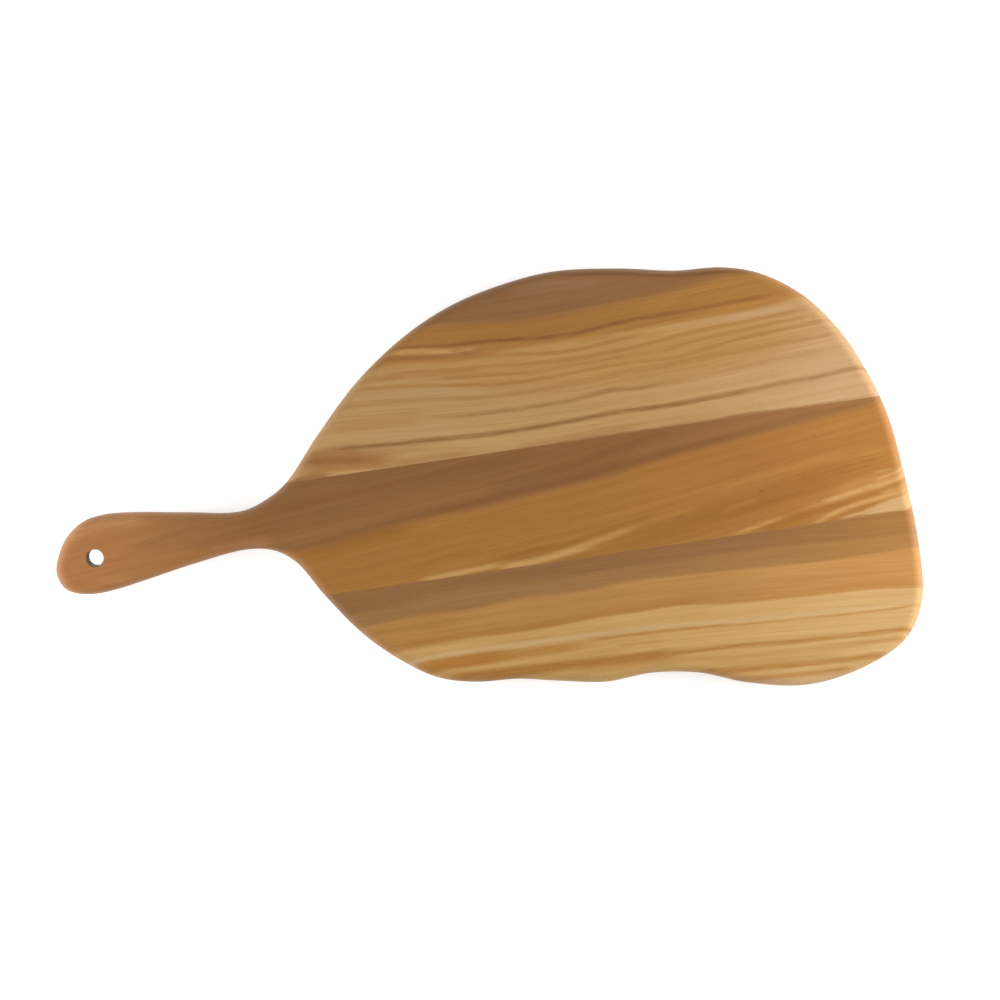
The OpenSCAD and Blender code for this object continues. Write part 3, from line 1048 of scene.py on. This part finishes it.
# %% Striped corner of the middle stave, and its material
middle_corner = [
    # the striped corner at the far end
    streak([(170, -32), (180, -31), (190, -31), (200, -29), (210, -27.5), (222, -26)],
           GOLD_DEEP, 1.5, 1.3, 0.6, 14),
    streak([(200, -21.5), (212, -18.5), (225, -16.5), (238, -15.5), (260, -13)], SLIVER, 3, 2.4, 0.55, 14),
    streak([(227, -12), (234, -12.2), (244, -11)], SLIVER_PALE, 0.7, 0.6, 0.6, 6),
    streak([(227, -17), (234, -16), (242, -14.3), (260, -12.4)], SLIVER_PALE, 0.9, 0.7, 0.9, 7, 0.2),
    streak([(222, -21.6), (233, -20.2), (240, -18.8), (260, -15.4)], SLIVER_PALE, 1.5, 1.2, 0.75, 9, 0.2),
    streak([(180, -28), (190, -26), (200, -24.8), (208, -23.5), (216, -22.2), (224, -20.9), (233, -19.3),
            (240, -18.2), (252, -16.2)], SLIVER_PALE, 1.4, 1.1, 0.9, 28, 0.4),
    streak([(228, -25), (240, -24), (252, -22.4)], SLIVER_PALE, 1.6, 1.3, 0.6, 8, 0.4),
    streak([(186, -37), (192, -36), (197, -34.6), (203, -32.6), (210, -30.8), (218, -29.1), (225, -28.1),
            (232, -27.4), (240, -26.6), (260, -25)], SLIVER_PALE, 1.3, 1.1, 0.85, 14, 0.4),
    streak([(202, -36.8), (212, -35.6), (219, -34.9), (228, -34.4), (260, -33)],
           SLIVER_WHITE, 1, 0.9, 0.9, 12, 0.3),
    streak([(213, -38.4), (220, -36.9), (226, -35.4), (233, -33.6), (240, -32), (260, -30.6)],
           SLIVER_WHITE, 3.4, 1.4, 1, 14, 0),
    streak([(228, -35.2), (240, -35.1), (260, -34.8)], SLIVER_WHITE, 1.7, 1.2, 1, 8, 0),
    streak([(212, -36.9), (226, -36.9), (243, -37.1)], BROWN_PALE, 0.7, 0.6, 0.85, 9, 0),
    streak([(220, -32.2), (230, -30.8)], GOLD, 0.7, 0.6, 0.4, 4),
    fleck((163, -13.5), BROWN, 2, 1.4, 0.6),
    fleck((113, -22), BROWN, 3, 1, 0.4),
    fleck((195, -24.5), BROWN, 1.6, 0.7, 0.6),
    fleck((228, -5), BROWN, 6, 1, 0.4),
    fleck((214, -6), BROWN, 6, 0.7, 0.4),
]
middle_figure = middle_brown + middle_slivers + middle_corner
MIDDLE_CUT = {"ring_slope": -0.5, "ring_curl": 0.012, "seed": 4.1, "ring_depth": 0.14}
middle_wood = plank_material("Oiled plank, heartwood", GOLD, middle_figure, middle_flow, **MIDDLE_CUT)
finish_with(middle_stave, middle_wood)

# %% [markdown]
# ## The wall of the hole
#
# A drill cuts across the fibres, and the wall of a bored hole is rough. Here it is the same plank, only much
# darker. The faces that lie on the bore get a second material slot.

# %% Darken the bored wall
BORE_BROWN = swatch(84, 54, 36)
BORE_REACH = HOLE_RADIUS + 0.35 * HOLE_RIM_RADIUS

bore_wood = plank_material("Oiled plank, bored", BORE_BROWN, [], middle_flow, **MIDDLE_CUT)
middle_stave.data.materials.append(bore_wood)


def from_bore(corner):
    """How far a corner of the mesh lies from the middle line of the hole."""
    return math.hypot(corner.co.x - HOLE_X, corner.co.y - HOLE_Y)


bored = 0
for face in middle_stave.data.polygons:
    corners = [middle_stave.data.vertices[number] for number in face.vertices]
    if all(from_bore(corner) < BORE_REACH for corner in corners):
        face.material_index = 1
        bored += 1
print(bored, "faces on the wall of the hole")

# %% [markdown]
# ## The lower stave
#
# Next to the joint it is grey-brown, then tan, and past a clean border it turns to sapwood whose lines
# drift downward to the right.

# %% Colours, flow and edges of the lower stave
LOW_SAPWOOD = swatch(191, 150, 89)
LOW_PALE = swatch(194, 157, 104)
LOW_WHITE = swatch(195, 161, 110)
TAN = swatch(174, 126, 66)
TAN_FAR_LIT = swatch(178, 129, 70)
TAN_DEEP = swatch(163, 112, 50)
GREY_BROWN = swatch(148, 107, 60)
GREY_FAR_LIT = swatch(158, 113, 60)
JOINT_BROWN = swatch(137, 96, 54)
JOINT_FAR_LIT = swatch(148, 103, 52)
LOW_LINE = swatch(164, 112, 48)
LOW_BAND = swatch(164, 110, 43)
EDGE_PAINTED_LIGHT = swatch(214, 174, 128)

lower_flow = [(-100, -2), (60, 0), (100, 0), (250, -9)]

tan_edge = [
    (-100, -79), (-65, -75.6), (-50, -74.5), (-35, -73.5), (-10, -73.8), (10, -74.5), (30, -74.2),
    (45, -73.5), (60, -72.8), (85, -73.2), (100, -72.8), (110, -73), (125, -74.4), (140, -75.8), (160, -76.9),
    (180, -77.8), (200, -78.8), (220, -79.9), (240, -81.9), (PATH_REACH, -83.6),
]
grey_edge = [
    (-100, -61), (-80, -59), (-60, -57.5), (-40, -56.5), (-20, -57), (0, -56), (20, -55.2), (40, -55.8),
    (60, -55.8), (80, -54.5), (100, -55), (120, -55.6), (140, -56.6), (160, -57.4), (180, -58.4),
    (250, -58.4),
]
joint_edge = [
    (-100, -50), (-80, -50), (-60, -49), (-40, -46.5), (0, -45.5), (60, -46.5), (80, -46), (140, -46.6),
    (180, -47.6), (210, -48.6), (250, -49.6),
]

print("its three edges:", len(tan_edge), len(grey_edge), "and", len(joint_edge), "points")

# %% Sapwood of the lower stave
lower_sapwood = [
    # the far end paler: painted light from the right soft box
    wash(LOW_PALE, 0.7, (110, 500), 110),
    # sapwood lines, from the outer edge inward
    streak([(118, -117.6), (130, -119.6), (140, -120.8), (155, -122), (170, -122.8), (185, -123.2),
            (205, -123.2)], LOW_LINE, 1.3, 1, 0.75, 12),
    streak([(70, -108.5), (95, -110.4), (115, -112.6), (130, -114.4), (145, -115.4), (160, -116.2),
            (168, -116.9), (178, -117.6), (190, -117.8), (215, -118.2), (235, -118)],
           LOW_LINE, 1.5, 1.2, 0.85, 14, 0.4),
    streak([(116, -112), (140, -113.4), (160, -114), (180, -115), (205, -115.6)],
           LOW_LINE, 2.6, 2.4, 0.28, 24, 0.2),
    streak([(28, -102.8), (60, -103), (85, -103.8), (110, -105.2), (130, -107), (150, -108.2), (180, -109.2),
            (225, -110)], LOW_LINE, 1.7, 1.6, 0.42, 20, 0.3),
    streak([(200, -109.8), (220, -110.2), (245, -110.8)], LOW_LINE, 1.2, 1.1, 0.5, 12),
    # painted light: a pale band along the lower rim near the far end
    streak([(130, -121), (150, -125.4), (170, -127.6), (190, -128), (210, -126.6)],
           EDGE_PAINTED_LIGHT, 2.6, 2.4, 0.75, 16, 0),
    fleck((171, -119.8), LOW_PALE, 16, 1.6, 0.8),
    streak([(-45, -94), (-30, -95), (-10, -96.4), (10, -97), (30, -97.8), (50, -98.3), (70, -99), (90, -99.8),
            (112, -100.2)], LOW_LINE, 2.9, 1.8, 1, 26, 0.2),
    streak([(85, -99.8), (110, -100.2), (125, -100.7), (140, -101.4), (155, -102.3), (170, -103.1),
            (185, -103.8), (200, -104.4), (215, -105), (260, -106)], LOW_LINE, 1.3, 1, 0.85, 20, 0.4),
    streak([(60, -90.6), (80, -91), (100, -92)], LOW_LINE, 0.6, 0.6, 0.4),
    streak([(46, -85.8), (60, -85.4), (80, -85.6), (100, -86.2), (115, -87), (128, -87.8), (140, -88.6)],
           LOW_LINE, 0.9, 0.8, 0.75, 16, 0.3),
    streak([(124, -87.5), (140, -88.6), (150, -89.3), (160, -89.8), (180, -90.6), (200, -91.6), (220, -92.5),
            (232, -92.6), (242, -91.8), (260, -91.2)], LOW_LINE, 0.8, 0.8, 0.6, 16, 0.4),
    streak([(-72, -82.4), (-50, -82.8), (-20, -81.6), (10, -82), (40, -82.3), (70, -82.9), (100, -83.8),
            (130, -85.6), (160, -87.4), (190, -88.9), (220, -90.3), (240, -90), (260, -89.6)],
           LOW_WHITE, 1.3, 1.1, 0.95, 16, 0.3),
    streak([(-66, -87.6), (-50, -87.4), (-30, -87.3), (-12, -87.2), (10, -87.2), (35, -87.4), (62, -87.8)],
           LOW_BAND, 2.6, 1.6, 0.85, 34, 0.2),
    streak([(-62, -88), (-45, -87), (-30, -86.8), (-15, -86.5), (14, -86.9)],
           LOW_BAND, 3.7, 1.7, 0.9, 24, 0.1),
    fleck((-35, -87.5), YEAR_LINE_DARK, 5, 0.9, 0.3),
    streak([(-12, -78), (10, -79), (40, -79.4)], LOW_LINE, 0.6, 0.6, 0.3),
]
print(len(lower_sapwood), "marks in its sapwood")

# %% Heartwood of the lower stave, and its material
lower_heartwood = [
    # tan, grey-brown and the darker wood at the joint, each paler toward the far end as painted light from
    # the right soft box
    border(tan_edge, TAN, 1.5),
    border(tan_edge, TAN_FAR_LIT, 1.5, 1, (110, 500), 90),
    streak([(-100, -67), (-50, -66), (-5, -66)], TAN_DEEP, 8, 4, 0.5, 34, 0),
    streak([(-66, -73.6), (-40, -72.6), (-20, -71.8), (0, -72.2), (20, -72.6), (40, -71.8), (60, -70.8),
            (100, -70.4), (130, -72)], TAN_DEEP, 2, 1.6, 0.75, 20),
    streak([(110, -71.6), (140, -74.4), (180, -76.2), (210, -77), (250, -79.4)], TAN_DEEP, 2, 1.7, 0.5, 20),
    border(grey_edge, GREY_BROWN, 3),
    border(grey_edge, GREY_FAR_LIT, 3, 1, (100, 500), 110),
    border(joint_edge, JOINT_BROWN, 4),
    border(joint_edge, JOINT_FAR_LIT, 4, 1, (140, 500), 90),
    streak([(88, -51.5), (100, -51), (112, -51.5), (130, -53)], BROWN_PALE, 1.2, 1, 0.5),
]
lower_figure = lower_sapwood + lower_heartwood
LOWER_CUT = {"ring_slope": 0.6, "ring_curl": -0.01, "seed": 7.9, "ring_depth": 0.18}
lower_wood = plank_material("Oiled plank, mixed", LOW_SAPWOOD, lower_figure, lower_flow, **LOWER_CUT)
finish_with(lower_stave, lower_wood)

# %% [markdown]
# ## The glue films
#
# Cured wood glue squeezed to a hair's breadth is amber, a little darker where the joint is tight, and it
# dulls when it is sanded flush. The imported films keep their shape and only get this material.

# %% Glue
GLUE_PALE = swatch(150, 108, 66)
GLUE_DARK = swatch(108, 72, 40)
BLOTCH_LENGTH = 9
BLOTCH_HEIGHT = 3
BLOTCH_DETAIL = 3
BLOTCH_RANGE = (0.35, 0.7)
GLUE_ROUGHNESS = 0.4
BLOTCH_ROUGHENING = 0.2
SANDING_DEPTH = 0.02 * MM

glue, tree = new_material("Cured wood glue")
readings = use(tree, grain_readings, {"Ring slope": 0, "Ring curl": 0, "Wobble": 0})
blotch_x = per(tree, readings["Along"], BLOTCH_LENGTH)
blotch_y = per(tree, readings["Down"], BLOTCH_HEIGHT)
blotches = noise_at(tree, blotch_x, blotch_y, 0, BLOTCH_DETAIL)
cured = place(tree, "BsdfPrincipled", {
    "Base Color": tint(tree, GLUE_PALE, GLUE_DARK, ease(tree, blotches, *BLOTCH_RANGE)),
    "Roughness": work_out(tree, "MULTIPLY_ADD", blotches, BLOTCH_ROUGHENING, GLUE_ROUGHNESS),
    "Normal": place(tree, "Bump", {"Height": blotches, "Distance": SANDING_DEPTH}).outputs[0],
})
place(tree, "OutputMaterial", {"Surface": cured.outputs[0]})
for node in ("upper_glue_film", "lower_glue_film"):
    finish_with(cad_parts[node], glue)
    print("glued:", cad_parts[node].name)

# %% [markdown]
# ## The table top and the light
#
# The board is pictured on pure white. The floor is pale, and to the camera it glows, so that it reads as
# white in the open while it still takes the board's soft shadow. Far from the lamps it glows more, and no
# horizon shows. The picture is also white through the hole, where little light gets down, so a spot of the
# floor under the hole glows fully too. The other rays see a plain pale floor. Two soft boxes stand low at
# the two ends, as on a copy stand. They make the rounds at both ends glow and leave the rounds along the
# sides darker, and the light falls off a little toward the middle. They leave no glare on the wood, like
# lamps behind polarising sheets, and the pale world that fills in gives the oiled skin its soft sheen.

# %% Floor
FLOOR_SIZE = 6
FLOOR_DROP = 0.2 * MM
FLOOR_GREY = (0.78, 0.78, 0.78, 1)
WHITE = (1, 1, 1, 1)
NEAR_GLOW = 0.55
FULL_GLOW = 1
NEAR_REACH = 0.3
FAR_REACH = 0.8
SPOT_INSIDE = 11 * MM
SPOT_OUTSIDE = 14 * MM


def glow_round(tree, x, y, start, stop, first, last):
    """A strength that goes from first to last between two distances from a place on the floor."""
    where = place(tree, "NewGeometry").outputs["Position"]
    gap = place(tree, "VectorMath", {0: where, 1: (x, y, -FLOOR_DROP)}, operation="DISTANCE")
    away = gap.outputs["Value"]
    feeds = {"Value": away, "From Min": start, "From Max": stop, "To Min": first, "To Max": last}
    return place(tree, "MapRange", feeds).outputs["Result"]


def seen_rays(tree):
    """1 for what the camera sees, also in gloss and through glass, and 0 for light that goes on."""
    rays = place(tree, "LightPath").outputs
    seen = work_out(tree, "MAXIMUM", rays["Is Camera Ray"], rays["Is Glossy Ray"])
    return work_out(tree, "MAXIMUM", seen, rays["Is Transmission Ray"])


floor_mesh = bmesh.new()
bmesh.ops.create_grid(floor_mesh, x_segments=1, y_segments=1, size=FLOOR_SIZE / 2)
floor = bench_object(floor_mesh, "floor")
floor.location.z = -FLOOR_DROP
paper, tree = new_material("White paper")
open_glow = glow_round(tree, 0, 0, NEAR_REACH, FAR_REACH, NEAR_GLOW, FULL_GLOW)
spot_glow = glow_round(tree, HOLE_X, HOLE_Y, SPOT_INSIDE, SPOT_OUTSIDE, FULL_GLOW, NEAR_GLOW)
strength = times(tree, seen_rays(tree), work_out(tree, "MAXIMUM", open_glow, spot_glow))
matt = place(tree, "BsdfDiffuse", {"Color": FLOOR_GREY})
glow = place(tree, "Emission", {"Color": WHITE, "Strength": strength})
both = place(tree, "AddShader", {0: matt.outputs[0], 1: glow.outputs[0]})
place(tree, "OutputMaterial", {"Surface": both.outputs[0]})
finish_with(floor, paper)
print(f"floor {FLOOR_SIZE} m square, {FLOOR_DROP / MM:.1f} mm under the board")

# %% Soft boxes and fill
BOX_REACH = 0.65
BOX_HEIGHT = 0.25
BOX_WIDTH = 0.5
BOX_DEPTH = 0.2
RIGHT_WATTS = 4.4
LEFT_WATTS = 2.95
FILL = 0.5


def soft_box(name, side, watts):
    """A lamp low at one end of the board, turned to its middle."""
    light = bpy.data.lights.new(name, "AREA")
    light.shape = "RECTANGLE"
    light.size = BOX_WIDTH
    light.size_y = BOX_DEPTH
    light.energy = watts
    stand = bpy.data.objects.new(name, light)
    stand.location = (side * BOX_REACH, 0, BOX_HEIGHT)
    stand.rotation_euler = (-stand.location).to_track_quat("-Z", "Y").to_euler()
    stand.visible_camera = False
    stand.visible_glossy = False
    bpy.context.collection.objects.link(stand)
    print(name, watts, "W")


soft_box("left soft box", -1, LEFT_WATTS)
soft_box("right soft box", 1, RIGHT_WATTS)
world = bpy.data.worlds.new("Pale room")
world.use_nodes = True
tree = world.node_tree
tree.nodes.clear()
brightness = work_out(tree, "MULTIPLY_ADD", seen_rays(tree), 1 - FILL, FILL)
sky = place(tree, "Background", {"Color": WHITE, "Strength": brightness})
place(tree, "OutputWorld", {"Surface": sky.outputs[0]})
bpy.context.scene.world = world

# %% [markdown]
# ## The camera
#
# The photograph looks straight down with a long lens, and the board lies turned by a little over 8 degrees.
# The hole's wall shows at its left and lower side, which tells where the lens was: near the board's middle,
# and a little above it in the picture. Its distance follows from how much of the wall shows.

# %% Camera
VIEW_TURN = math.radians(-8.351)
VIEW_WIDTH = 582.65 * MM
VIEW_CENTRE = Vector((12.0 * MM, 2.8 * MM, BOARD_THICKNESS / 2))
VIEW_DISTANCE = 2.3
VIEW_RISE = 0.12
SENSOR_WIDTH = 36

picture_right = Vector((math.cos(VIEW_TURN), math.sin(VIEW_TURN), 0))
picture_up = Vector((-math.sin(VIEW_TURN), math.cos(VIEW_TURN), 0))
lens = bpy.data.cameras.new("camera")
lens.sensor_width = SENSOR_WIDTH
lens.lens = SENSOR_WIDTH * VIEW_DISTANCE / VIEW_WIDTH
camera = bpy.data.objects.new("camera", lens)
eye = VIEW_CENTRE + Vector((0, 0, VIEW_DISTANCE)) + picture_up * VIEW_RISE
backward = (eye - VIEW_CENTRE).normalized()
upward = backward.cross(picture_right)
turn = Matrix((picture_right, upward, backward)).transposed().to_4x4()
camera.matrix_world = Matrix.Translation(eye) @ turn
bpy.context.collection.objects.link(camera)
bpy.context.scene.camera = camera
bpy.context.scene.view_settings.view_transform = "Standard"
print(f"lens {lens.lens:.1f} mm at {VIEW_DISTANCE} m")
